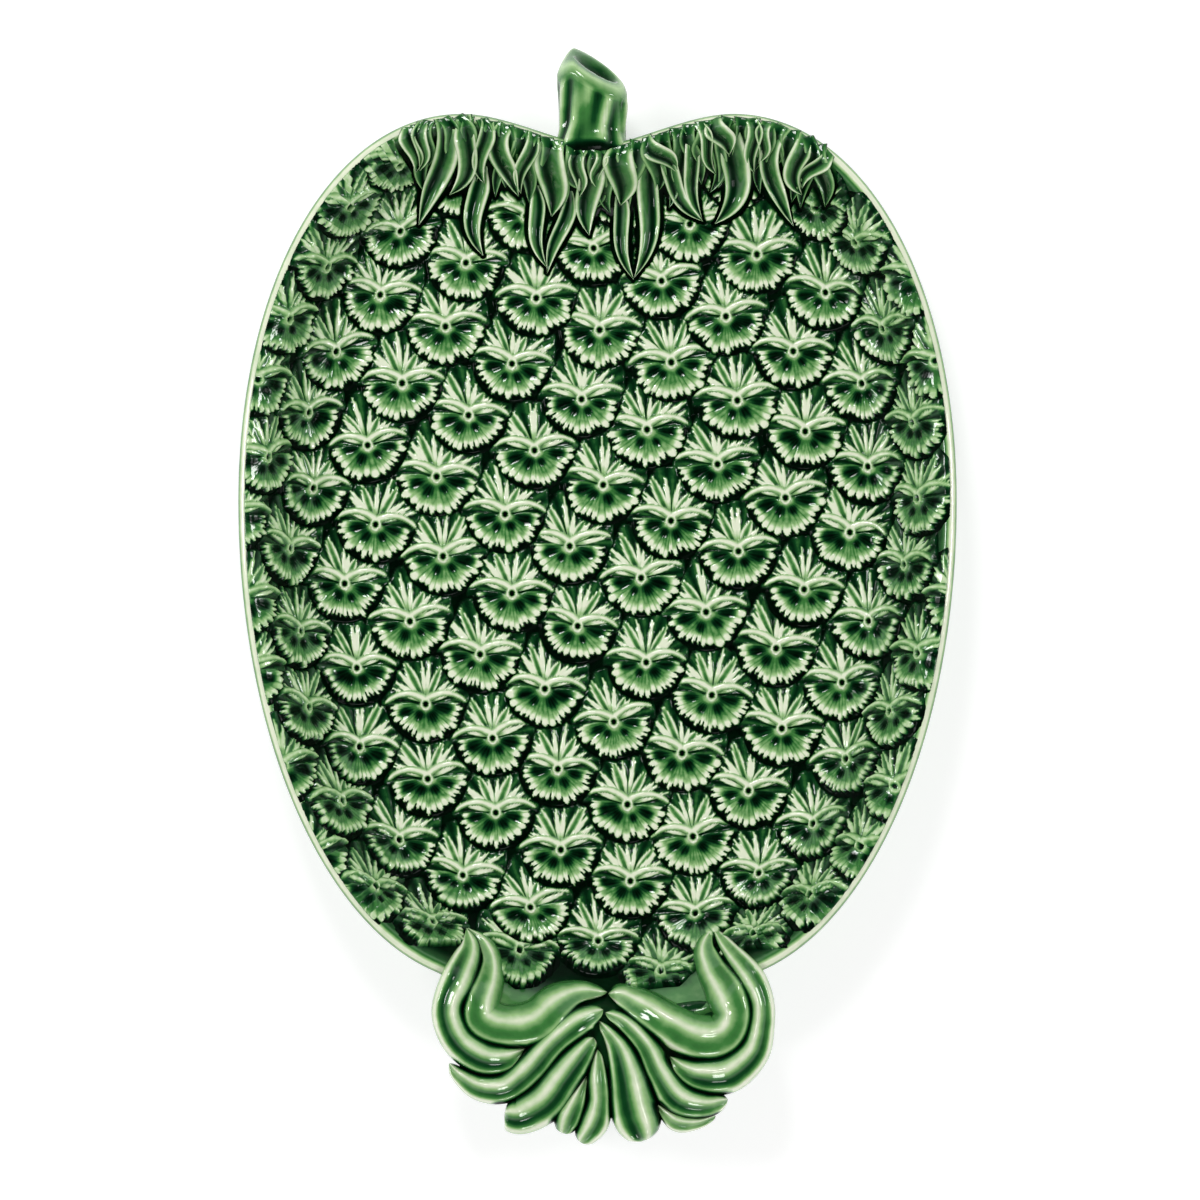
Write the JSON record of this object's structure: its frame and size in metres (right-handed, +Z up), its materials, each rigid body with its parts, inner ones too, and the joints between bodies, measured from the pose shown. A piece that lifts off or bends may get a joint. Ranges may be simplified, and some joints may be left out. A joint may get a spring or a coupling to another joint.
{
  "type": "serving tray",
  "caption": "Shallow pineapple-shaped serving tray in glossy green majolica, its well covered with moulded eyes, with a stem and a crown of curling leaves as the handle.",
  "frame": {"origin": "on the table under the middle of the tray's length and width", "axes": "+Z up out of the well, +Y along the tray towards the stem, so the crown is at -Y; +X is to the right seen from above with the stem up"},
  "size_m": [0.2624, 0.3999, 0.0426],
  "materials": {
    "green_glaze": "gloss",
    "pale_glaze": "gloss",
    "bare_clay": "matte"
  },
  "bodies": {
    "root": {"tray_shell": "green_glaze", "foot_ring": "bare_clay", "stem": "pale_glaze", "crown_plate": "green_glaze", "crown_leaf_inner_left": "pale_glaze", "crown_leaf_inner_right": "pale_glaze", "crown_leaf_outer_left": "pale_glaze", "crown_leaf_outer_right": "pale_glaze", "crown_leaf_sweep_left": "pale_glaze", "crown_leaf_sweep_right": "pale_glaze", "crown_leaf_mid_left": "pale_glaze", "crown_leaf_tail_right": "pale_glaze", "crown_leaf_end_right": "pale_glaze", "crown_leaf_end_left": "pale_glaze", "crown_leaf_small_left": "pale_glaze", "fringe_leaf_01": "pale_glaze", "fringe_leaf_02": "pale_glaze", "fringe_leaf_03": "pale_glaze", "fringe_leaf_04": "pale_glaze", "fringe_leaf_05": "pale_glaze", "fringe_leaf_06": "pale_glaze", "fringe_leaf_07": "pale_glaze", "fringe_leaf_08": "pale_glaze", "fringe_leaf_09": "pale_glaze", "fringe_leaf_10": "pale_glaze", "fringe_leaf_11": "pale_glaze", "fringe_leaf_12": "pale_glaze", "fringe_leaf_13": "pale_glaze", "fringe_leaf_14": "pale_glaze", "fringe_leaf_15": "pale_glaze", "fringe_leaf_16": "pale_glaze", "fringe_leaf_17": "pale_glaze", "fringe_leaf_18": "pale_glaze", "fringe_leaf_19": "pale_glaze", "fringe_leaf_20": "pale_glaze", "fringe_leaf_21": "pale_glaze", "fringe_leaf_22": "pale_glaze", "fringe_leaf_23": "pale_glaze", "fringe_leaf_24": "pale_glaze", "fringe_leaf_25": "pale_glaze", "fringe_leaf_26": "pale_glaze", "fringe_leaf_27": "pale_glaze", "fringe_leaf_28": "pale_glaze", "eye_row_01": "green_glaze", "eye_row_02": "green_glaze", "eye_row_03": "green_glaze", "eye_row_04": "green_glaze", "eye_row_05": "green_glaze", "eye_row_06": "green_glaze", "eye_row_07": "green_glaze", "eye_row_08": "green_glaze", "eye_row_09": "green_glaze", "eye_row_10": "green_glaze", "eye_row_11": "green_glaze", "eye_row_12": "green_glaze", "eye_row_13": "green_glaze"}
  },
  "joints": []
}
